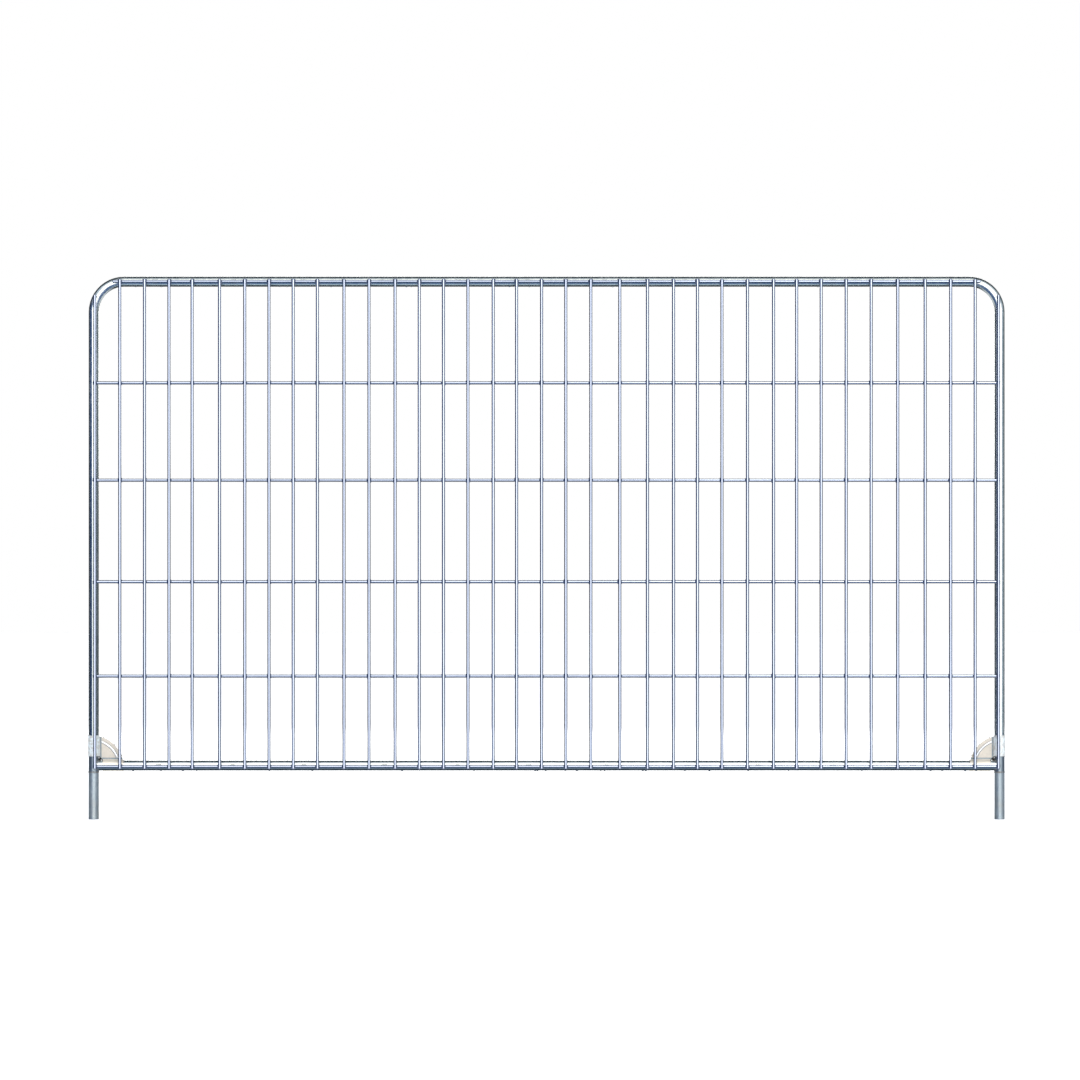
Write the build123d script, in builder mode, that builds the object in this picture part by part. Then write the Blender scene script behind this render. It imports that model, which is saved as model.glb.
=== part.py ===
from build123d import *
from math import cos, pi, radians, sin, sqrt
import os

# Round-top mesh barrier panel in galvanised steel: a tube bent into a hoop, two legs welded under it,
# a bottom rail, a pair of pressed gusset shells in each bottom corner, and a welded grid of slim
# tubular bars on the front face.
#
# Millimetres, +Z up, X along the panel, the grid on the -Y side. The origin is on the ground, in the
# middle of the panel's length and depth.

# ---- Driving dimensions ----------------------------------------------------------------------------

# Tube frame. Heights are above the ground, to the centre of the tube.
panel_width = 3450.0
panel_height = 2044.0
tube_diameter = 38.0
tube_wall = 1.5
bend_radius = 3 * tube_diameter
rail_height = 203.0

# Legs, which stand in the holes of base blocks
leg_length = 178.0
leg_end_chamfer = 0.5
groove_depth = 1.2
groove_half_width = 2.5
leg_weld_crown = 1.3

# Grid of bars
bar_diameter = 12.0
bar_wall = 1.0
bar_end_radius = 3.0
bar_bottom = 190.0
bar_top = 2034.0
outer_bar_top = 1975.0
level_bar_heights = [200.0, 540.0, 895.0, 1277.0, 1643.0, 2025.0]
level_bar_length = 3410.0
top_bar_length = 3268.0
# From the centre of each upright bar to the next, from the left end to the right end
upright_bar_gaps = [
    94, 93, 92, 87, 103, 95, 91, 91, 91, 100, 94, 98,
    91, 91, 92, 95, 88, 94, 91, 94, 109, 104, 98, 90,
    92, 96, 98, 87, 92, 94, 94, 100, 103, 96, 92, 88,
]

# Corner gussets
sheet = 2.0
gusset_start = 16.0
gusset_end = 94.0
web_reach = 91.0
web_arc_radius = 120.0
rib_inset = 17.0
rib_radius = 4.0
rib_sweep = 44.0
fold_radius = 8.0
# Where the sleeves on the rail end, in degrees above the foremost or rearmost line of the rail. The
# front ones stop above the lowest level bar; the rear ones go on to the underside.
front_rail_wrap_end = 10.0
rear_rail_wrap_end = -90.0

# Clearances between pieces that touch, and the weld beads at the rail's ends
rail_fit_gap = 0.3
bar_gap = 0.02
sleeve_gap = 0.05
bead_radius = 2.5
bead_half_sweep = 55.0

# ---- Worked out from them --------------------------------------------------------------------------

tube_radius = tube_diameter / 2
bar_radius = bar_diameter / 2
sleeve_inner = tube_radius + sleeve_gap
sleeve_outer = sleeve_inner + sheet

# The grid stands in front of the tubes and the rear gusset shells stand behind them, so the tubes
# sit behind the middle of the panel's depth.
depth_in_front = tube_radius + 2 * (bar_diameter + bar_gap)
depth_behind = sleeve_outer
tube_y = (depth_in_front - depth_behind) / 2
level_bar_y = tube_y - tube_radius - bar_gap - bar_radius
upright_bar_y = level_bar_y - bar_diameter - bar_gap

upright_x = panel_width / 2 - tube_radius
top_z = panel_height - tube_radius
bend_z = top_z - bend_radius
bend_x = upright_x - bend_radius

SIDES = {"left": -1, "right": 1}

os.makedirs("parts", exist_ok=True)


def save(piece, name):
    """Label a finished piece and write its STEP file."""
    piece.part.label = name
    export_step(piece.part, f"parts/{name}.step")


def tube_section():
    """The ring section shared by the hoop and the bottom rail, drawn at the sketch's own centre."""
    Circle(tube_radius)
    Circle(tube_radius - tube_wall, mode=Mode.SUBTRACT)


def upright_axis(side):
    """The centre line of one upright."""
    return Axis((side * upright_x, tube_y, 0), (0, 0, 1))


# ---- Hoop: two uprights, two bends and the top tube, all one tube ----------------------------------


def half_hoop(side):
    """One upright, its bend, and half of the top tube."""
    with BuildPart() as half:
        with BuildSketch(Plane((side * upright_x, tube_y, leg_length))):
            tube_section()
        extrude(amount=bend_z - leg_length)
        with BuildSketch(Plane((side * upright_x, tube_y, bend_z))):
            tube_section()
        revolve(axis=Axis((side * bend_x, tube_y, bend_z), (0, -side, 0)), revolution_arc=90)
        with BuildSketch(Plane((0, tube_y, top_z), x_dir=(0, 1, 0), z_dir=(side, 0, 0))):
            tube_section()
        extrude(amount=bend_x)
    return half.part


def groove_half(side):
    """The bevel round the upright's lower end, one half of the weld groove."""
    with BuildPart() as bevel:
        with BuildSketch(Plane.XZ.offset(-tube_y)):
            with BuildLine():
                Polyline(
                    (side * (upright_x + tube_radius - groove_depth), leg_length),
                    (side * (upright_x + tube_radius + groove_depth), leg_length),
                    (side * (upright_x + tube_radius + groove_depth), leg_length + 2 * groove_half_width),
                    close=True,
                )
            make_face()
        revolve(axis=upright_axis(side))
    return bevel.part


half_hoops = [half_hoop(side) for side in SIDES.values()]
bevels = [groove_half(side) for side in SIDES.values()]

with BuildPart() as hoop_tube:
    add(half_hoops)
    add(bevels, mode=Mode.SUBTRACT)

save(hoop_tube, "hoop_tube")

# ---- Legs and the ring welds that hold them --------------------------------------------------------


def leg_piece(side):
    """A straight tube from the ground to the hoop, bevelled at the top for the ring weld."""
    with BuildPart() as leg:
        with BuildSketch(Plane((side * upright_x, tube_y, 0))):
            tube_section()
        extrude(amount=leg_length)
        rims = leg.edges().filter_by(GeomType.CIRCLE).group_by(SortBy.RADIUS)[-1].sort_by(Axis.Z)
        chamfer(rims[0], leg_end_chamfer)
        top_face = leg.faces().sort_by(Axis.Z)[-1]
        chamfer(rims[-1], groove_depth, groove_half_width, reference=top_face)
    return leg


def leg_weld_piece(side):
    """The weld that fills the groove between leg and hoop and stands a little proud of the tube."""
    with BuildPart() as weld:
        with BuildSketch(Plane.XZ.offset(-tube_y)):
            surface_x = side * (upright_x + tube_radius)
            low = (surface_x, leg_length - groove_half_width)
            root = (surface_x - side * groove_depth, leg_length)
            high = (surface_x, leg_length + groove_half_width)
            crown = (surface_x + side * leg_weld_crown, leg_length)
            with BuildLine():
                Polyline(low, root, high)
                ThreePointArc(high, crown, low)
            make_face()
        revolve(axis=upright_axis(side))
    return weld


for name, side in SIDES.items():
    save(leg_piece(side), f"{name}_leg")
    save(leg_weld_piece(side), f"{name}_leg_weld")

# ---- Bottom rail, notched round the uprights, and its weld beads -----------------------------------

with BuildPart() as bottom_rail:
    with BuildSketch(Plane((-upright_x, tube_y, rail_height), x_dir=(0, 1, 0), z_dir=(1, 0, 0))):
        tube_section()
    extrude(amount=2 * upright_x)
    with BuildSketch(Plane((0, tube_y, 0))):
        with Locations((-upright_x, 0), (upright_x, 0)):
            Circle(tube_radius + rail_fit_gap)
    extrude(amount=panel_height / 2, mode=Mode.SUBTRACT)

save(bottom_rail, "bottom_rail")


def rail_weld_piece(side):
    """Two beads along the seam between rail and upright, one over the rail and one under it.

    Two equal tubes meet at right angles along two half ellipses, each in a plane at 45 degrees to both
    tubes. Each bead is a round rod bent along one of them, less the tubes themselves.
    """
    corner = (side * upright_x, tube_y, rail_height)
    with BuildPart() as weld:
        for lift in (1, -1):
            seam = Plane(corner, x_dir=(-side, 0, lift), z_dir=(side * lift, 0, 1))
            with BuildLine(seam) as path:
                EllipticalCenterArc(
                    (0, 0),
                    tube_radius * sqrt(2),
                    tube_radius,
                    start_angle=-bead_half_sweep,
                    arc_size=2 * bead_half_sweep,
                )
            with BuildSketch(Plane(path.line @ 0, z_dir=path.line % 0)):
                Circle(bead_radius)
            sweep(path=path.line)
        with BuildSketch(Plane((side * upright_x, tube_y, 0))):
            Circle(tube_radius)
        extrude(amount=panel_height / 2, mode=Mode.SUBTRACT)
        with BuildSketch(Plane(corner, x_dir=(0, 1, 0), z_dir=(-side, 0, 0))):
            Circle(tube_radius)
        extrude(amount=upright_x, mode=Mode.SUBTRACT)
    return weld


for name, side in SIDES.items():
    save(rail_weld_piece(side), f"{name}_rail_weld")

# ---- Corner gussets --------------------------------------------------------------------------------

# Both gusset halves are drawn for the left corner. Their web plane is the middle plane of the tubes. It
# is centred where the upright and the rail cross, its x runs along the rail towards the middle of the
# panel and its y runs up, so its +z side faces the front.
web_plane = Plane((-upright_x, tube_y, rail_height), x_dir=(1, 0, 0), z_dir=(0, -1, 0))

# The web's outer edge is an arc through (0, web_reach) and (web_reach, 0), measured from the inner
# corner of the tubes, so its centre lies on the corner's diagonal, this far outside along each axis.
arc_shift = (sqrt(2 * web_arc_radius**2 - web_reach**2) - web_reach) / 2
arc_centre = tube_radius - arc_shift

# How far an edge may be from a fold's exact place and length and still be taken for the fold
fold_place_slack = 0.01
fold_length_slack = 5.0


def sleeve_profile(start_angle, sweep_angle):
    """The section of a stretch of sheet that wraps a tube, round the tube's centre."""
    with BuildSketch() as profile:
        with BuildLine():
            outside = CenterArc((0, 0), sleeve_outer, start_angle, sweep_angle)
            inside = CenterArc((0, 0), sleeve_inner, start_angle, sweep_angle)
            Line(outside @ 0, inside @ 0)
            Line(outside @ 1, inside @ 1)
        make_face()
    return profile.sketch


def corner_gusset(rail_wrap_end):
    """One pressed half shell for the left corner, on the front side of the tubes' middle plane.

    A flat quarter-round web is folded into a half-round sleeve on the upright and a sleeve on the rail
    that ends rail_wrap_end degrees above the rail's foremost line. A rounded rib stiffens the web.
    """
    web_tip = tube_radius + web_reach
    cut = tube_radius + gusset_start
    rib_turn = radians(45 - rib_sweep / 2)
    rib_path_radius = web_arc_radius - rib_inset
    upright_wrap = sleeve_profile(180, 180)
    rail_wrap = sleeve_profile(rail_wrap_end, 90 - rail_wrap_end)

    with BuildPart() as shell:
        # Flat web, its inner corner cut off at 45 degrees
        with BuildSketch(web_plane):
            with BuildLine():
                Polyline((web_tip, sleeve_inner), (cut, sleeve_inner), (sleeve_inner, cut))
                Line((sleeve_inner, cut), (sleeve_inner, web_tip))
                RadiusArc((sleeve_inner, web_tip), (web_tip, sleeve_inner), web_arc_radius)
            make_face()
        extrude(amount=sheet)

        # Half-round sleeve on the front of the upright
        with BuildSketch(Plane((-upright_x, tube_y, rail_height + cut))):
            add(upright_wrap)
        extrude(amount=gusset_end - gusset_start)

        # Sleeve on the rail, from the web over the top of the rail
        with BuildSketch(Plane((cut - upright_x, tube_y, rail_height), x_dir=(0, -1, 0), z_dir=(-1, 0, 0))):
            add(rail_wrap)
        extrude(amount=gusset_start - gusset_end)

        # Rounded folds between the web and the two sleeves
        fold_reach = sqrt(sleeve_outer**2 - sheet**2)
        folds = shell.edges().filter_by(
            lambda edge: abs(edge.length - (web_tip - cut)) < fold_length_slack
            and abs((edge @ 0.5).Y - (tube_y - sheet)) < fold_place_slack
            and min(
                abs((edge @ 0.5).X + upright_x - fold_reach),
                abs((edge @ 0.5).Z - rail_height - fold_reach),
            ) < fold_place_slack
        )
        fillet(folds, fold_radius)

        # Rib: a round bead that follows the web's outer edge
        rib_ends = [
            (arc_centre + rib_path_radius * cos(turn), arc_centre + rib_path_radius * sin(turn))
            for turn in (rib_turn, pi / 2 - rib_turn)
        ]
        rib_axis = Axis((arc_centre - upright_x, tube_y, arc_centre + rail_height), (0, -1, 0))
        rib_section = Plane(
            (rib_ends[0][0] - upright_x, tube_y - sheet, rib_ends[0][1] + rail_height),
            x_dir=(cos(rib_turn), 0, sin(rib_turn)),
            z_dir=(-sin(rib_turn), 0, cos(rib_turn)),
        )
        with BuildSketch(rib_section):
            Circle(rib_radius)
        revolve(axis=rib_axis, revolution_arc=rib_sweep)
        with Locations([(x - upright_x, tube_y - sheet, z + rail_height) for x, z in rib_ends]):
            Sphere(rib_radius)
        split(bisect_by=web_plane, keep=Keep.TOP)
    return shell.part


front_half = corner_gusset(front_rail_wrap_end)
rear_half = mirror(corner_gusset(rear_rail_wrap_end), about=Plane.XZ.offset(-tube_y))

with BuildPart() as left_corner_gusset_front:
    add(front_half)
save(left_corner_gusset_front, "left_corner_gusset_front")

with BuildPart() as left_corner_gusset_rear:
    add(rear_half)
save(left_corner_gusset_rear, "left_corner_gusset_rear")

with BuildPart() as right_corner_gusset_front:
    mirror(front_half, about=Plane.YZ)
save(right_corner_gusset_front, "right_corner_gusset_front")

with BuildPart() as right_corner_gusset_rear:
    mirror(rear_half, about=Plane.YZ)
save(right_corner_gusset_rear, "right_corner_gusset_rear")

# ---- Grid of bars ----------------------------------------------------------------------------------


def bar_piece(start, along, sideways, length):
    """A tubular bar from start, its two ends drawn in to a small round vent hole."""
    hole_radius = bar_radius - bar_end_radius
    inner_radius = bar_radius - bar_wall
    far = length - bar_end_radius
    section_plane = Plane(start, x_dir=sideways, z_dir=Vector(sideways).cross(Vector(along)))
    with BuildPart() as bar:
        with BuildSketch(section_plane):
            with BuildLine():
                Line((bar_radius, bar_end_radius), (bar_radius, far))
                CenterArc((hole_radius, far), bar_end_radius, 0, 90)
                Line((hole_radius, length), (hole_radius, length - bar_wall))
                CenterArc((hole_radius, far), bar_end_radius - bar_wall, 90, -90)
                Line((inner_radius, far), (inner_radius, bar_end_radius))
                CenterArc((hole_radius, bar_end_radius), bar_end_radius - bar_wall, 0, -90)
                Line((hole_radius, bar_wall), (hole_radius, 0))
                CenterArc((hole_radius, bar_end_radius), bar_end_radius, -90, 90)
            make_face()
        revolve(axis=Axis(start, along))
    return bar


upright_bar_places = [-sum(upright_bar_gaps) / 2]
for gap in upright_bar_gaps:
    upright_bar_places.append(upright_bar_places[-1] + gap)

for number, bar_x in enumerate(upright_bar_places, start=1):
    at_edge = number in (1, len(upright_bar_places))
    height = (outer_bar_top if at_edge else bar_top) - bar_bottom
    upright_bar = bar_piece((bar_x, upright_bar_y, bar_bottom), (0, 0, 1), (1, 0, 0), height)
    save(upright_bar, f"upright_bar_{number:02d}")

for number, height in enumerate(level_bar_heights, start=1):
    at_top = number == len(level_bar_heights)
    length = top_bar_length if at_top else level_bar_length
    level_bar = bar_piece((-length / 2, level_bar_y, height), (1, 0, 0), (0, 0, 1), length)
    save(level_bar, f"level_bar_{number}")
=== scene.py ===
import math
import random

import bmesh
import bpy
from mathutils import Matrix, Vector, noise


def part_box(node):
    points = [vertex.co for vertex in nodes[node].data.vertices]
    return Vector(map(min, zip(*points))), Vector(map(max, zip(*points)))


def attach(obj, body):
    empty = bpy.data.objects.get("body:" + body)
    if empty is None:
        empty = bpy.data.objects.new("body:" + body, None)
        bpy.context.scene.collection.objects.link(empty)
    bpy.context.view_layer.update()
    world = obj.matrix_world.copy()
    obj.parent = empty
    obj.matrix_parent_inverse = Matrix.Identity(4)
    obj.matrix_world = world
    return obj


# The visual model of a galvanised round-top barrier panel: procedural zinc materials on the CAD pieces,
# and the melted metal that the CAD leaves out, which is the grid's crossing welds, the welds that hold
# the grid and the gussets to the tubes, and the drips that hot zinc leaves. Metres, +Z up.

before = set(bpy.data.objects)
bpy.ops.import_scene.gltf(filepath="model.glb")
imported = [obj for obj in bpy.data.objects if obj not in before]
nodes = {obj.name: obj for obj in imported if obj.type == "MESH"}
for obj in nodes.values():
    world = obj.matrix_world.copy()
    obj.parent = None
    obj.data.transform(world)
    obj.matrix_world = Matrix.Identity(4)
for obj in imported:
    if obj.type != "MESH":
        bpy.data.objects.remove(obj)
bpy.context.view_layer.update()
UPRIGHT_BARS = sorted(n for n in nodes if n.startswith("upright_bar_"))
LEVEL_BARS = sorted(n for n in nodes if n.startswith("level_bar_"))
SIDES = {"left": -1, "right": 1}


def centre(node):
    """The middle of a CAD node's box."""
    low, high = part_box(node)
    return (low + high) / 2


# ---- Measures taken from the frame -----------------------------------------------------------------

leg_low, leg_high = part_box("left_leg")
tube_radius = (leg_high.x - leg_low.x) / 2
tube_y = centre("left_leg").y
upright_x = centre("right_leg").x
rail_z = centre("bottom_rail").z
top_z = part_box("hoop_tube")[1].z - tube_radius
upright_bar_y = centre(UPRIGHT_BARS[0]).y
level_bar_y = centre(LEVEL_BARS[0]).y
crossing_y = (upright_bar_y + level_bar_y) / 2
tube_front_y = tube_y - tube_radius

MM = 0.001

# The gusset's web reaches WEB_REACH along each tube from the other tube's surface. Its curved edge is an
# arc of radius WEB_ARC, whose centre is ARC_CENTRE from both tubes' axes. The rib runs RIB_INSET inside it.
WEB_ARC = 120 * MM
WEB_REACH = 91 * MM
RIB_INSET = 17 * MM
ARC_CENTRE = tube_radius - (math.sqrt(2 * WEB_ARC**2 - WEB_REACH**2) - WEB_REACH) / 2

# The web's corner is cut off, and the sleeve on the upright starts, this far from the rail's surface
CORNER_CUT = 16 * MM
sleeve_foot = rail_z + tube_radius + CORNER_CUT


# ---- Material building blocks ----------------------------------------------------------------------


class Nodes:
    """A short way to build a node tree."""

    def __init__(self, tree):
        self.tree = tree
        tree.nodes.clear()

    def add(self, kind, **settings):
        node = self.tree.nodes.new(kind)
        for key, value in settings.items():
            setattr(node, key, value)
        return node

    def set(self, socket, value):
        """Link an output socket to an input socket, or give the input a constant."""
        if isinstance(value, bpy.types.NodeSocket):
            self.tree.links.new(value, socket)
        else:
            socket.default_value = value

    def place(self, stretch=(1, 1, 1)):
        """The object's own coordinates, stretched along its axes."""
        coords = self.add("ShaderNodeTexCoord").outputs["Object"]
        mapping = self.add("ShaderNodeMapping")
        self.set(mapping.inputs["Vector"], coords)
        mapping.inputs["Scale"].default_value = stretch
        return mapping.outputs["Vector"]

    def position(self, axis):
        """The object's own coordinate along one axis, in metres."""
        split = self.add("ShaderNodeSeparateXYZ")
        self.set(split.inputs[0], self.place())
        return split.outputs[axis]

    def noise(self, scale, detail=3.0, rough=0.55, stretch=(1, 1, 1)):
        texture = self.add("ShaderNodeTexNoise")
        self.set(texture.inputs["Vector"], self.place(stretch))
        texture.inputs["Scale"].default_value = scale
        texture.inputs["Detail"].default_value = detail
        texture.inputs["Roughness"].default_value = rough
        return texture.outputs["Fac"]

    def cells(self, scale):
        """A random value for each crystal of a voronoi pattern."""
        texture = self.add("ShaderNodeTexVoronoi")
        self.set(texture.inputs["Vector"], self.place())
        texture.inputs["Scale"].default_value = scale
        split = self.add("ShaderNodeSeparateColor")
        self.set(split.inputs["Color"], texture.outputs["Color"])
        return split.outputs["Red"]

    def remap(self, value, low, high, to_low=0.0, to_high=1.0, curve="LINEAR"):
        node = self.add("ShaderNodeMapRange", interpolation_type=curve)
        self.set(node.inputs["Value"], value)
        node.inputs["From Min"].default_value = low
        node.inputs["From Max"].default_value = high
        node.inputs["To Min"].default_value = to_low
        node.inputs["To Max"].default_value = to_high
        return node.outputs["Result"]

    def math(self, operation, a, b=0.0):
        """One operation, on the first value alone or on both."""
        node = self.add("ShaderNodeMath", operation=operation)
        self.set(node.inputs[0], a)
        self.set(node.inputs[1], b)
        return node.outputs[0]

    def times(self, *values):
        """The product of two or more values."""
        product = values[0]
        for value in values[1:]:
            product = self.math("MULTIPLY", product, value)
        return product

    def mix(self, factor, a, b, blend="MIX"):
        """Blend two colours."""
        node = self.add("ShaderNodeMix", data_type="RGBA", blend_type=blend)
        self.set(node.inputs[0], factor)
        self.set(node.inputs[6], a)
        self.set(node.inputs[7], b)
        return node.outputs[2]

    def bump(self, layers):
        """Stack bump maps: (height value, strength, depth in metres) for each layer."""
        normal = None
        for value, strength, depth in layers:
            node = self.add("ShaderNodeBump")
            node.inputs["Strength"].default_value = strength
            node.inputs["Distance"].default_value = depth
            self.set(node.inputs["Height"], value)
            if normal is not None:
                self.set(node.inputs["Normal"], normal)
            normal = node.outputs["Normal"]
        return normal

    def output(self, shader, kind="ShaderNodeOutputMaterial"):
        end = self.add(kind)
        self.tree.links.new(shader.outputs[0], end.inputs["Surface"])

    def surface(self, base, metallic, roughness, normal):
        shader = self.add("ShaderNodeBsdfPrincipled")
        self.set(shader.inputs["Base Color"], base)
        self.set(shader.inputs["Metallic"], metallic)
        self.set(shader.inputs["Roughness"], roughness)
        self.set(shader.inputs["Normal"], normal)
        self.output(shader)


def new_material(name):
    material = bpy.data.materials.new(name)
    material.use_nodes = True
    return material


def colour(red, green, blue):
    return (red, green, blue, 1.0)


def shade(tint, factor):
    """A tint made lighter or darker."""
    return colour(*(channel * factor for channel in tint[:3]))


def zinc(name, bright, dark, crystal_scale, crystal_contrast, metal, rough, spread, streak, stain,
         grain_depth, dull_and_shaded_below=0.0, left_painted_shade=0.0):
    """Hot-dip galvanised steel.

    bright and dark are the crystals' two tones, spread is how much the roughness varies, streak is the
    direction stretch of the runs in the coating, stain is how much brown has crept in, and below the height
    dull_and_shaded_below the coating is rougher and painted dark blue-grey, a painted shade.
    left_painted_shade is how much painted shade darkens the lower part of the -X side.
    """
    material = new_material(name)
    n = Nodes(material.node_tree)
    height = n.position("Z")
    crystals = n.cells(crystal_scale)
    patina = n.remap(n.noise(9, 4, 0.6), 0.35, 0.7)
    runs = n.remap(n.noise(34, 3, 0.6, streak), 0.42, 0.72)
    grain = n.noise(900, 2, 0.6)
    specks = n.remap(n.noise(260, 2, 0.7), 0.70 - 0.06 * stain, 0.78)
    soil = n.times(n.remap(height, 0.16, 0.0, 0.0, 0.55), n.remap(n.noise(24, 4), 0.4, 0.7))
    # Painted shade: darker towards -X and downwards from 1.7 m, standing in for the shade on that side of
    # the hoop
    left_shade_mask = n.times(n.remap(n.position("X"), 0.6, -1.4), n.remap(height, 1.7, 0.8, 0.0, left_painted_shade))
    # Painted shade with a rougher finish: below the given height the coating is painted dark blue-grey,
    # standing in for the shade on the undersides
    dull_and_shaded = n.remap(height, dull_and_shaded_below + 4 * MM, dull_and_shaded_below - 4 * MM)

    tone = n.remap(crystals, 0.0, 1.0, 0.5 - crystal_contrast, 0.5 + crystal_contrast)
    base = n.mix(tone, dark, bright)
    base = n.mix(n.times(patina, 0.40), base, shade(bright, 1.06))
    base = n.mix(n.times(runs, 0.35), base, shade(dark, 0.72))
    base = n.mix(n.times(specks, 0.5 * stain), base, colour(0.26, 0.17, 0.10))
    base = n.mix(soil, base, colour(0.30, 0.28, 0.24))
    # Painted shade on the lower -X side of the hoop
    base = n.mix(left_shade_mask, base, shade(dark, 0.45))
    # Painted shade below the given height; the same mask also roughens the coating there
    base = n.mix(dull_and_shaded, base, colour(0.21, 0.25, 0.28))

    roughness = n.remap(crystals, 0.0, 1.0, rough - spread, rough + spread)
    for layer, extra in ((patina, spread), (specks, 2 * spread), (dull_and_shaded, 0.18)):
        roughness = n.math("ADD", roughness, n.times(layer, extra))
    metallic = n.remap(n.math("ADD", n.times(patina, 0.5), specks), 0.0, 1.5, metal, metal - 0.10)
    normal = n.bump([
        (n.noise(22, 3, 0.5), 0.12, 0.6 * MM),
        (crystals, 0.06, 0.10 * MM),
        (grain, 0.30, grain_depth),
    ])
    n.surface(base, metallic, roughness, normal)
    return material


def distance_from_rib(n, from_upright, from_rail):
    """How far a point of the web is from the middle of its rib."""
    across = n.math("POWER", n.math("SUBTRACT", from_upright, ARC_CENTRE), 2.0)
    along = n.math("POWER", n.math("SUBTRACT", from_rail, ARC_CENTRE), 2.0)
    radius = n.math("SQRT", n.math("ADD", across, along))
    return n.math("ABSOLUTE", n.math("SUBTRACT", radius, WEB_ARC - RIB_INSET))


def pressing():
    """The gussets' sheet: warm matt zinc, with a painted highlight along the rib and on the two sleeves,
    and painted shade in the two folds and beside the rib.
    """
    material = new_material("pressing_zinc")
    n = Nodes(material.node_tree)
    from_upright = n.math("SUBTRACT", upright_x, n.math("ABSOLUTE", n.position("X")))
    from_rail = n.math("SUBTRACT", n.position("Z"), rail_z)
    nearest = n.math("MINIMUM", from_upright, from_rail)
    from_rib = distance_from_rib(n, from_upright, from_rail)

    patchy = n.remap(n.noise(160, 3), 0.3, 0.6, 0.7, 1.0)
    on_rib = n.remap(nearest, 28 * MM, 31 * MM)
    # Painted highlight: a near-white, glossier band along the middle of the rib
    rib_highlight = n.times(n.remap(from_rib, 3.8 * MM, 2.4 * MM), on_rib, patchy)
    beside_rib = n.times(n.remap(from_rib, 3.4 * MM, 4.2 * MM), n.remap(from_rib, 6.4 * MM, 4.8 * MM))
    fold = n.times(n.remap(nearest, 23 * MM, 25 * MM), n.remap(nearest, 31 * MM, 28 * MM))
    # Painted shade: dark blue-grey in the two folds and as an outline beside the rib
    fold_and_rib_shade = n.times(n.math("MAXIMUM", fold, n.times(beside_rib, on_rib, 0.5)), patchy)
    on_upright = n.remap(from_upright, 24 * MM, 21 * MM)
    on_rail = n.remap(from_rail, 24 * MM, 21 * MM)
    crystals = n.cells(140)
    mottle = n.remap(n.noise(90, 4, 0.65), 0.38, 0.62)
    specks = n.remap(n.noise(240, 2, 0.7), 0.66, 0.76)
    # Random patches that break up the painted highlight on the upright's sleeve
    sleeve_highlight_patches = n.remap(n.noise(110, 3), 0.38, 0.58, 0.35, 1.0)

    base = n.mix(n.times(crystals, 0.6), colour(0.40, 0.375, 0.335), colour(0.33, 0.315, 0.285))
    base = n.mix(n.times(mottle, 0.55), base, colour(0.44, 0.405, 0.36))
    # Painted highlight: the sleeve round the rail is painted light cream
    base = n.mix(n.times(on_rail, 0.9), base, colour(0.74, 0.69, 0.60))
    # Painted highlight: the sleeve round the upright is painted light bluish-white in patches, and made
    # less metallic
    base = n.mix(n.times(on_upright, sleeve_highlight_patches), base, colour(0.68, 0.75, 0.78))
    # Painted shade in the folds and beside the rib
    base = n.mix(fold_and_rib_shade, base, colour(0.11, 0.15, 0.18))
    # Painted highlight along the rib
    base = n.mix(rib_highlight, base, colour(0.86, 0.88, 0.90))
    base = n.mix(n.times(specks, 0.35), base, colour(0.30, 0.21, 0.13))

    metallic = n.math("SUBTRACT", n.remap(rib_highlight, 0.0, 1.0, 0.45, 0.75), n.times(on_upright, 0.25))
    roughness = n.remap(rib_highlight, 0.0, 1.0, 0.44, 0.28)
    normal = n.bump([(n.noise(40, 3), 0.15, 0.4 * MM), (n.noise(900, 2), 0.3, 0.05 * MM)])
    n.surface(base, metallic, roughness, normal)
    return material


def weld_metal(name, light, dark):
    """Rough, slightly browned weld metal in two tones."""
    material = new_material(name)
    n = Nodes(material.node_tree)
    blotches = n.remap(n.noise(120, 4, 0.65), 0.4, 0.65)
    burn = n.remap(n.noise(38, 3, 0.6), 0.5, 0.7)
    base = n.mix(blotches, dark, light)
    base = n.mix(n.times(burn, 0.65), base, shade(colour(0.50, 0.32, 0.19), light[0]))
    metallic = n.remap(burn, 0.0, 1.0, 0.80, 0.40)
    roughness = n.remap(blotches, 0.0, 1.0, 0.60, 0.42)
    normal = n.bump([(n.noise(420, 4, 0.6), 0.6, 0.4 * MM), (n.noise(1500, 2, 0.6), 0.4, 0.1 * MM)])
    n.surface(base, metallic, roughness, normal)
    return material


TUBE_TONES = colour(0.68, 0.71, 0.68), colour(0.52, 0.57, 0.56)
BAR_TONES = colour(0.315, 0.35, 0.435), colour(0.275, 0.31, 0.39)

TUBE_ZINC = zinc("tube_zinc", *TUBE_TONES, crystal_scale=95, crystal_contrast=0.45, metal=1.0, rough=0.24,
                 spread=0.05, streak=(1, 1, 0.12), stain=0.5, grain_depth=0.03 * MM,
                 dull_and_shaded_below=sleeve_foot + 2 * MM, left_painted_shade=0.6)
LEVEL_TUBE_ZINC = zinc("level_tube_zinc", *TUBE_TONES, crystal_scale=95, crystal_contrast=0.45, metal=1.0,
                       rough=0.22, spread=0.05, streak=(0.12, 1, 1), stain=0.5, grain_depth=0.03 * MM,
                       dull_and_shaded_below=rail_z - 9 * MM)
LEG_ZINC = zinc("leg_zinc", colour(0.31, 0.36, 0.39), colour(0.24, 0.29, 0.32), crystal_scale=95,
                crystal_contrast=0.45, metal=0.75, rough=0.45, spread=0.06, streak=(1, 1, 0.3), stain=0.6,
                grain_depth=0.05 * MM)
UPRIGHT_BAR_ZINC = zinc("upright_bar_zinc", *BAR_TONES, crystal_scale=190, crystal_contrast=0.25, metal=1.0,
                        rough=0.13, spread=0.02, streak=(1, 1, 0.10), stain=0.2, grain_depth=0.02 * MM)
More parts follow.
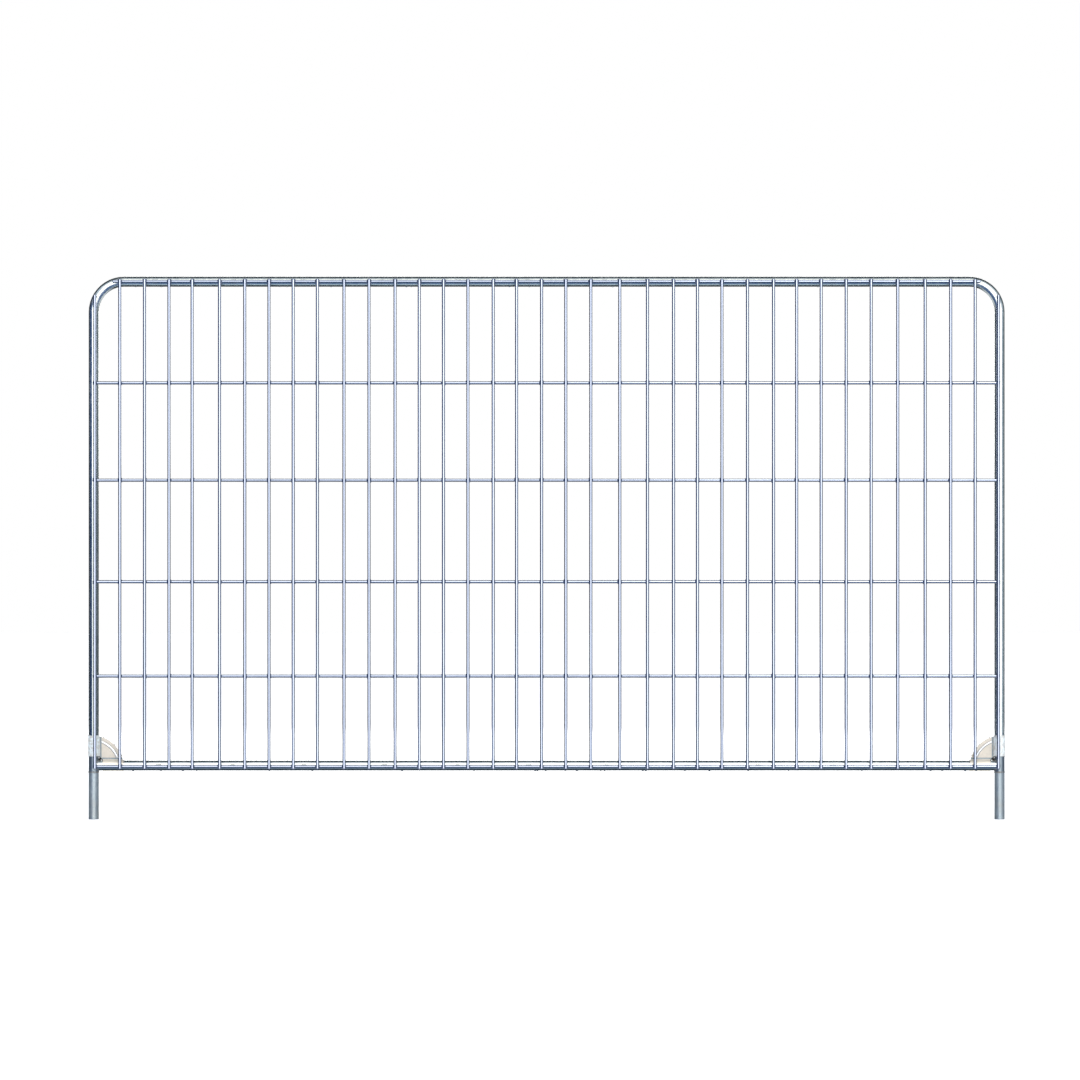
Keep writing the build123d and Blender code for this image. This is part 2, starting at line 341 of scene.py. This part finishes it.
LEVEL_BAR_ZINC = zinc("level_bar_zinc", *BAR_TONES, crystal_scale=190, crystal_contrast=0.25, metal=1.0,
                      rough=0.13, spread=0.02, streak=(0.10, 1, 1), stain=0.2, grain_depth=0.02 * MM)
NUGGET_ZINC = zinc("nugget_zinc", colour(0.24, 0.27, 0.35), colour(0.18, 0.21, 0.29), crystal_scale=300,
                   crystal_contrast=0.40, metal=1.0, rough=0.30, spread=0.06, streak=(1, 1, 1), stain=0.5,
                   grain_depth=0.06 * MM)
PRESSING_ZINC = pressing()
WELD_ZINC = weld_metal("weld_zinc", colour(0.30, 0.31, 0.30), colour(0.19, 0.20, 0.21))
# Painted shade: near-black weld metal for the corner welds, standing in for the shadow in the gap at each
# gusset's cut corner
GAP_SHADE_WELD = weld_metal("gap_shade_weld", colour(0.030, 0.030, 0.029), colour(0.012, 0.014, 0.016))


def material_for(node):
    if node.startswith("upright_bar"):
        return UPRIGHT_BAR_ZINC
    if node.startswith("level_bar"):
        return LEVEL_BAR_ZINC
    if "gusset" in node:
        return PRESSING_ZINC
    if "weld" in node:
        return WELD_ZINC
    if node == "bottom_rail":
        return LEVEL_TUBE_ZINC
    if node.endswith("_leg"):
        return LEG_ZINC
    return TUBE_ZINC


for name, piece in nodes.items():
    piece.data.materials.clear()
    piece.data.materials.append(material_for(name))
    piece.data.shade_smooth()
    piece.data.set_sharp_from_angle(angle=math.radians(40))


# ---- Melted metal: welds and drips -----------------------------------------------------------------

seeded = random.Random(11)
BLOB_SIDES = 12
BLOB_RINGS = 7
BEAD_SIDES = 10
BEAD_STEP = 0.8 * MM
RIPPLE_PITCH = 2.6 * MM

# Half width and height of each kind of weld bead
LEG_BEAD = (2.9 * MM, 1.35 * MM)
SEAM_BEAD = (3.4 * MM, 2.3 * MM)
CORNER_BEAD = (2.8 * MM, 2.4 * MM)
BAR_END_BEAD = (2.6 * MM, 2.2 * MM)
STITCH_BEAD = (2.4 * MM, 2.0 * MM)
SLEEVE_END_BEAD = (2.2 * MM, 1.2 * MM)
TACK_BEAD = (2.2 * MM, 1.0 * MM)


def skin(mesh, rings):
    """Join rings of vertices into a skin, closed by a flat cap at each end."""
    sides = len(rings[0])
    for low, high in zip(rings, rings[1:]):
        for side in range(sides):
            after = (side + 1) % sides
            mesh.faces.new((low[side], low[after], high[after], high[side]))
    mesh.faces.new(reversed(rings[0]))
    mesh.faces.new(rings[-1])


def roughen(point, origin, amount, scale):
    """Push a point in or out from an origin by a smooth noise."""
    push = 1 + amount * noise.noise(point * scale)
    return origin + (point - origin) * push


def add_blob(mesh, place, radii, roughness=0.22):
    """A lump of melted metal with half-sizes radii."""
    place = Vector(place)
    rings = []
    for ring in range(1, BLOB_RINGS + 1):
        lift = math.pi * ring / (BLOB_RINGS + 1)
        row = []
        for side in range(BLOB_SIDES):
            turn = 2 * math.pi * side / BLOB_SIDES
            point = place + Vector((
                radii[0] * math.sin(lift) * math.cos(turn),
                radii[1] * math.sin(lift) * math.sin(turn),
                -radii[2] * math.cos(lift),
            ))
            row.append(mesh.verts.new(roughen(point, place, roughness, 260)))
        rings.append(row)
    skin(mesh, rings)


def add_bead(mesh, path, outwards, width, height):
    """A rippled weld bead along a path of points. outwards holds the surface's normal at each point."""
    total = sum((b - a).length for a, b in zip(path, path[1:]))
    run = 0.0
    rings = []
    for index, point in enumerate(path):
        if index:
            run += (point - path[index - 1]).length
        ahead = path[min(index + 1, len(path) - 1)] - path[max(index - 1, 0)]
        outward = outwards[index]
        across = ahead.normalized().cross(outward).normalized()
        ripple = 1 + 0.10 * (1 - (run / RIPPLE_PITCH) % 1.0)
        from_end = min(run, total - run) / (1.5 * width)
        taper = math.sqrt(max(0.03, 1 - max(0.0, 1 - from_end) ** 2))
        row = []
        for side in range(BEAD_SIDES):
            turn = 2 * math.pi * side / BEAD_SIDES
            offset = across * width * math.cos(turn) + outward * height * math.sin(turn)
            row.append(mesh.verts.new(roughen(point + offset * ripple * taper, point, 0.12, 300)))
        rings.append(row)
    skin(mesh, rings)


def straight_bead(mesh, start, end, outward, width, height):
    start, end = Vector(start), Vector(end)
    steps = max(8, round((end - start).length / BEAD_STEP))
    path = [start.lerp(end, step / steps) for step in range(steps + 1)]
    add_bead(mesh, path, [Vector(outward).normalized()] * len(path), width, height)


def arc_bead(mesh, middle, across, up, radius, first, last, width, height):
    """A bead round part of a tube. The angles, in degrees, run from across towards up."""
    steps = max(8, round(radius * math.radians(abs(last - first)) / BEAD_STEP))
    path, outwards = [], []
    for step in range(steps + 1):
        angle = math.radians(first + (last - first) * step / steps)
        outward = Vector(across) * math.cos(angle) + Vector(up) * math.sin(angle)
        path.append(Vector(middle) + outward * radius)
        outwards.append(outward)
    add_bead(mesh, path, outwards, width, height)


def new_piece(name, mesh, material):
    """Turn a bmesh into a named piece that rides on the one body."""
    bmesh.ops.recalc_face_normals(mesh, faces=mesh.faces)
    data = bpy.data.meshes.new(name)
    mesh.to_mesh(data)
    mesh.free()
    data.materials.append(material)
    data.shade_smooth()
    piece = bpy.data.objects.new(name, data)
    bpy.context.scene.collection.objects.link(piece)
    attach(piece, "root")


NUGGET_HALF_WIDTH = 8.3 * MM
NUGGET_HALF_DEPTH = 3.6 * MM
WOBBLE = 0.5 * MM
SPATTER_CHANCE = 0.45
SPATTER_X = 6.6 * MM
SPATTER_Z = 6.4 * MM


def crossing_welds(level_bar):
    """The squashed nuggets, some with spatter, where the upright bars were pressed into one level bar."""
    low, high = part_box(level_bar)
    mesh = bmesh.new()
    for bar in UPRIGHT_BARS:
        bar_low, bar_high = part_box(bar)
        x = centre(bar).x
        z = centre(level_bar).z
        if not low.x < x < high.x or not bar_low.z < z < bar_high.z:
            continue
        half_width = NUGGET_HALF_WIDTH * seeded.uniform(0.92, 1.12)
        place = (x + seeded.uniform(-WOBBLE, WOBBLE), crossing_y, z + seeded.uniform(-WOBBLE, WOBBLE))
        add_blob(mesh, place, (half_width, NUGGET_HALF_DEPTH, half_width))
        for x_side in (-1, 1):
            for z_side in (-1, 1):
                if seeded.random() < SPATTER_CHANCE:
                    corner = (x + x_side * SPATTER_X, crossing_y + 0.6 * MM, z + z_side * SPATTER_Z)
                    size = seeded.uniform(1.5, 2.4) * MM
                    add_blob(mesh, corner, (size, size, size * 1.2))
    new_piece("crossing_welds_" + level_bar[-1], mesh, NUGGET_ZINC)


for bar_name in LEVEL_BARS:
    crossing_welds(bar_name)


def level_bar_end_welds():
    """The welds that hold the ends of the level bars to the uprights."""
    mesh = bmesh.new()
    for bar in LEVEL_BARS[:-1]:
        low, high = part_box(bar)
        for end_x, inward in ((low.x, 1), (high.x, -1)):
            z = centre(bar).z
            for lift in (-1, 1):
                crease_z = z + lift * 4.6 * MM
                start = (end_x + inward * 0.5 * MM, tube_front_y - 2.2 * MM, crease_z)
                end = (end_x + inward * 10 * MM, tube_front_y - 0.8 * MM, crease_z)
                straight_bead(mesh, start, end, (0, -0.8, 0.6 * lift), *BAR_END_BEAD)
            add_blob(mesh, (end_x, tube_front_y - 2.0 * MM, z), (3.0 * MM, 2.6 * MM, 4.6 * MM))
    new_piece("level_bar_end_welds", mesh, WELD_ZINC)


level_bar_end_welds()


STITCH_EVERY = 3


def stitch_welds(name, level_bar, tube_z):
    """Short beads, one in every few gaps of the grid, in the two creases between a level bar and the tube
    it lies along.
    """
    mesh = bmesh.new()
    z = centre(level_bar).z
    places = [centre(bar).x for bar in UPRIGHT_BARS[1:-1]]
    for left, right in list(zip(places, places[1:]))[1::STITCH_EVERY]:
        middle = (left + right) / 2 + seeded.uniform(-8, 8) * MM
        half = seeded.uniform(9, 14) * MM
        for lift in (-1, 1):
            height = z + lift * 4.4 * MM + (tube_z - z) * 0.5
            start = (middle - half, tube_front_y - 1.2 * MM, height)
            end = (middle + half, tube_front_y - 1.2 * MM, height)
            straight_bead(mesh, start, end, (0, -0.7, 0.7 * lift), *STITCH_BEAD)
    new_piece(name, mesh, WELD_ZINC)


stitch_welds("top_stitch_welds", LEVEL_BARS[-1], top_z)
stitch_welds("rail_stitch_welds", LEVEL_BARS[0], rail_z)


def tube_weld_ripples(name, side):
    """The rippled faces of the ring weld on one leg and of the two seams between rail and upright."""
    mesh = bmesh.new()
    leg = centre(name + "_leg")
    ring = (leg.x, leg.y, centre(name + "_leg_weld").z)
    arc_bead(mesh, ring, (1, 0, 0), (0, 1, 0), tube_radius + 0.15 * MM, 0, 359, *LEG_BEAD)
    corner = Vector((leg.x, leg.y, rail_z))
    for lift in (1, -1):
        diagonal = Vector((-side, 0, lift))
        path, outwards = [], []
        for degrees in range(-60, 61, 2):
            angle = math.radians(degrees)
            sideways = Vector((0, math.sin(angle), 0))
            path.append(corner + tube_radius * (diagonal * math.cos(angle) + sideways))
            outwards.append((diagonal.normalized() * math.cos(angle) + sideways).normalized())
        add_bead(mesh, path, outwards, *SEAM_BEAD)
    new_piece(name + "_weld_ripples", mesh, WELD_ZINC)


def gusset_tacks(name, side):
    """The tack welds that join the two gusset halves and hold them to the upright and the rail."""
    mesh = bmesh.new()
    front_low, front_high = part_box(name + "_corner_gusset_front")
    leg = centre(name + "_leg")
    sleeve_head = front_high.z
    rim = tube_radius + 0.9 * MM

    # On the seam between the halves, down the outside of the upright
    for height in (sleeve_foot + 5 * MM, (sleeve_foot + sleeve_head) / 2, sleeve_head - 6 * MM):
        place = (leg.x + side * (tube_radius + 1.0 * MM), leg.y, height)
        add_blob(mesh, place, (0.9 * MM, 2.6 * MM, 5.0 * MM), 0.1)

    # Round the upright at the sleeves' upper and lower ends
    for height in (sleeve_foot, sleeve_head):
        ring = (leg.x, leg.y, height)
        for first, last in ((-38, -8), (8, 38), (-150, -128), (128, 150)):
            arc_bead(mesh, ring, (side, 0, 0), (0, 1, 0), rim, first, last, *TACK_BEAD)

    # Round the rail at the sleeves' inner ends
    ring = (front_low.x if side > 0 else front_high.x, leg.y, rail_z)
    for up in (-1, 1):
        arc_bead(mesh, ring, (0, 0, 1), (0, up, 0), rim, 20, 62, *SLEEVE_END_BEAD)

    # Along the web's curved edge, where the two halves meet
    for turn in (22, 45, 68):
        x = leg.x - side * (ARC_CENTRE + WEB_ARC * math.cos(math.radians(turn)))
        z = rail_z + ARC_CENTRE + WEB_ARC * math.sin(math.radians(turn))
        add_blob(mesh, (x, leg.y, z), (2.6 * MM, 2.4 * MM, 2.6 * MM))
    new_piece(name + "_gusset_tacks", mesh, WELD_ZINC)


def corner_weld(name, side):
    """The weld across the corner, where the gusset's web is cut off short of the two tubes. It is painted
    near-black, a painted shade standing in for the shadow in the gap there.
    """
    mesh = bmesh.new()
    leg = centre(name + "_leg")
    reach = tube_radius + CORNER_CUT
    start = (leg.x - side * tube_radius, leg.y, rail_z + reach)
    end = (leg.x - side * reach, leg.y, rail_z + tube_radius)
    straight_bead(mesh, start, end, (-side, 0, 1), *CORNER_BEAD)
    for step, size in ((4, 5.5), (8, 4.0)):
        place = (leg.x - side * (tube_radius + step * MM), leg.y, rail_z + tube_radius + step * MM)
        add_blob(mesh, place, (size * MM, 2.4 * MM, size * MM))
    new_piece(name + "_corner_weld", mesh, GAP_SHADE_WELD)


for side_name, side_sign in SIDES.items():
    tube_weld_ripples(side_name, side_sign)
    gusset_tacks(side_name, side_sign)
    corner_weld(side_name, side_sign)


def tube_drips(mesh, count, half, tube_z, lengths, half_widths):
    """Drips along the underside of a level tube, between -half and half. Lengths and widths in mm."""
    for _ in range(count):
        x = seeded.uniform(-half, half)
        length = seeded.uniform(*lengths) * MM
        place = (x, tube_y, tube_z - tube_radius - length * 0.2)
        add_blob(mesh, place, (seeded.uniform(*half_widths) * MM, 1.8 * MM, length))


def zinc_drips():
    """Small tears of zinc that ran to the lowest edges and froze there after dipping."""
    mesh = bmesh.new()
    bar_drip_chance = 0.6
    for bar in UPRIGHT_BARS:
        if seeded.random() < bar_drip_chance:
            length = seeded.uniform(2.0, 4.5) * MM
            x = centre(bar).x + seeded.uniform(-1.5, 1.5) * MM
            place = (x, upright_bar_y + 2.5 * MM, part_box(bar)[0].z - length * 0.3)
            add_blob(mesh, place, (1.5 * MM, 1.5 * MM, length))
    tube_drips(mesh, 26, upright_x - 50 * MM, rail_z, (1.5, 3.5), (2.0, 4.0))
    tube_drips(mesh, 16, 1.55, top_z, (1.2, 2.4), (2.0, 3.5))
    new_piece("zinc_drips", mesh, TUBE_ZINC)


zinc_drips()

# ---- Camera ----------------------------------------------------------------------------------------

CAMERA_DISTANCE = 20.0
VIEW_WIDTH = 4.066
AIM_X = -0.025
AIM_Z = 1.052
SENSOR = 36.0

camera_data = bpy.data.cameras.new("camera")
camera_data.sensor_width = SENSOR
camera_data.lens = SENSOR * CAMERA_DISTANCE / VIEW_WIDTH
camera = bpy.data.objects.new("camera", camera_data)
camera.location = (AIM_X, -CAMERA_DISTANCE, AIM_Z)
camera.rotation_euler = (math.radians(90), 0, 0)
camera_data.clip_end = 200
bpy.context.scene.collection.objects.link(camera)
bpy.context.scene.camera = camera


# ---- Floor, lights and surroundings ----------------------------------------------------------------

# Brightness of the surroundings seen in reflections, by compass angle from the front in degrees
SKY_POWER = 4.2
RING_STOPS = [
    (-179, (0.4, 0.4, 0.4)),
    (-170, (0.35, 0.35, 0.35)),
    (-158, (0.015, 0.025, 0.035)),
    (-145, (0.11, 0.13, 0.15)),
    (-125, (0.11, 0.13, 0.15)),
    (-108, (0.015, 0.025, 0.045)),
    (-75, (0.020, 0.060, 0.180)),
    (-47, (0.05, 0.13, 0.36)),
    (-32, (0.50, 0.66, 0.98)),
    (-19, (4.1, 4.0, 3.8)),
    (27, (4.1, 4.0, 3.8)),
    (44, (1.05, 1.12, 1.25)),
    (66, (0.56, 0.64, 0.80)),
    (92, (0.28, 0.34, 0.38)),
    (110, (0.10, 0.14, 0.14)),
    (125, (0.11, 0.13, 0.15)),
    (145, (0.11, 0.13, 0.15)),
    (158, (0.02, 0.03, 0.04)),
    (170, (0.35, 0.35, 0.35)),
    (179, (0.4, 0.4, 0.4)),
]
SKY_FRONT = (0.52, 0.58, 0.68)
SKY_BACK = (0.02, 0.04, 0.055)
SKY_SIDE = (1.10, 1.22, 1.40)
GROUND_FRONT = (0.09, 0.18, 0.42)
GROUND_UNDER = (0.62, 0.78, 0.92)
GROUND_BACK = (0.015, 0.025, 0.035)
GROUND_REAR_SIDE = (0.85, 0.92, 1.00)


FLOOR_HALF = 40.0
FLOOR_GLOW = 0.53


def floor():
    """A white floor that glows just enough to render as white as the background."""
    mesh = bpy.data.meshes.new("floor")
    half = FLOOR_HALF
    corners = [(-half, -half, 0), (half, -half, 0), (half, half, 0), (-half, half, 0)]
    mesh.from_pydata(corners, [], [(0, 1, 2, 3)])
    plane = bpy.data.objects.new("floor", mesh)
    bpy.context.scene.collection.objects.link(plane)
    paint = new_material("floor_paint")
    n = Nodes(paint.node_tree)
    tone = n.mix(n.noise(1.5, 4), colour(0.88, 0.88, 0.88), colour(0.92, 0.92, 0.92))
    shader = n.add("ShaderNodeBsdfPrincipled")
    n.set(shader.inputs["Base Color"], tone)
    shader.inputs["Roughness"].default_value = 0.9
    shader.inputs["Emission Color"].default_value = colour(1, 1, 1)
    shader.inputs["Emission Strength"].default_value = FLOOR_GLOW
    n.output(shader)
    mesh.materials.append(paint)
    plane.visible_glossy = False


def softbox(name, location, target, size, power, tint):
    """A rectangular area light aimed at a target."""
    data = bpy.data.lights.new(name, "AREA")
    data.shape = "RECTANGLE"
    data.size, data.size_y = size
    data.energy = power
    data.color = tint
    light = bpy.data.objects.new(name, data)
    light.location = location
    aim = Vector(target) - Vector(location)
    light.rotation_euler = aim.to_track_quat("-Z", "Y").to_euler()
    bpy.context.scene.collection.objects.link(light)


def studio_tint(tint):
    """A tint of the surroundings as a ramp can hold it, divided by SKY_POWER."""
    return shade(tint, 1 / SKY_POWER)


def ring_ramp(n, turn):
    """The brightness of the surroundings at a compass angle in radians."""
    ramp = n.add("ShaderNodeValToRGB")
    n.set(ramp.inputs[0], n.math("ADD", n.math("DIVIDE", turn, 2 * math.pi), 0.5))
    elements = ramp.color_ramp.elements
    elements.remove(elements[-1])
    for index, (degrees, tint) in enumerate(RING_STOPS):
        position = degrees / 360 + 0.5
        element = elements[0] if index == 0 else elements.new(position)
        element.position = position
        element.color = studio_tint(tint)
    return ramp.outputs[0]


def climb(n, rise, start, end):
    """0 at one elevation, 1 at another, in degrees."""
    return n.remap(rise, math.radians(start), math.radians(end), curve="SMOOTHSTEP")


def sky(n, y, rise, ring):
    """The surroundings at and above the horizon: the ring, lightened by the sky's sides, and the sky."""
    behind = n.remap(y, -0.28, -0.02, curve="SMOOTHSTEP")
    above = n.mix(behind, studio_tint(SKY_FRONT), studio_tint(SKY_BACK))
    side = n.mix(behind, studio_tint(SKY_SIDE), studio_tint(SKY_BACK))
    side = n.mix(climb(n, rise, 10, 38), colour(0, 0, 0), side)
    return n.mix(climb(n, rise, 25, 62), n.mix(1.0, ring, side, "LIGHTEN"), above)


def ground(n, x, y, rise):
    """The surroundings below the horizon."""
    front = n.mix(climb(n, rise, -48, -66), studio_tint(GROUND_FRONT), studio_tint(GROUND_UNDER))
    sideways = n.remap(n.math("ABSOLUTE", x), 0.25, 0.55, curve="SMOOTHSTEP")
    rear = n.mix(sideways, studio_tint(GROUND_BACK), studio_tint(GROUND_REAR_SIDE))
    return n.mix(n.remap(y, -0.20, 0.02, curve="SMOOTHSTEP"), front, rear)


def surroundings():
    """White to the camera. In reflections the front is bright, the sky pale, and the sides and the ground
    are dark, with dim patches behind that light the views from the back.
    """
    world = bpy.data.worlds.new("studio")
    bpy.context.scene.world = world
    world.use_nodes = True
    n = Nodes(world.node_tree)
    direction = n.add("ShaderNodeSeparateXYZ")
    n.set(direction.inputs[0], n.add("ShaderNodeTexCoord").outputs["Generated"])
    x, y, z = direction.outputs
    rise = n.math("ARCSINE", z)
    ring = ring_ramp(n, n.math("ARCTAN2", x, n.times(y, -1.0)))
    around = n.mix(climb(n, rise, -1, -18), sky(n, y, rise, ring), ground(n, x, y, rise))

    reflected = n.mix(1.0, around, colour(SKY_POWER, SKY_POWER, SKY_POWER), "MULTIPLY")
    is_camera = n.add("ShaderNodeLightPath").outputs["Is Camera Ray"]
    background = n.add("ShaderNodeBackground")
    n.set(background.inputs["Color"], n.mix(is_camera, reflected, colour(1, 1, 1)))
    n.output(background, "ShaderNodeOutputWorld")


floor()
surroundings()
softbox("key", (2.0, -7.5, 4.0), (0, 0, 1.0), (3.0, 3.0), 130, (1.0, 0.98, 0.95))
softbox("top", (0, -2.5, 6.0), (0, 0, 1.0), (6.0, 3.0), 15, (0.97, 0.99, 1.0))
softbox("back", (0.6, 9.0, 3.4), (0, 0, 1.0), (6.0, 4.0), 260, (1.0, 1.0, 1.0))
bpy.context.scene.view_settings.view_transform = "Standard"
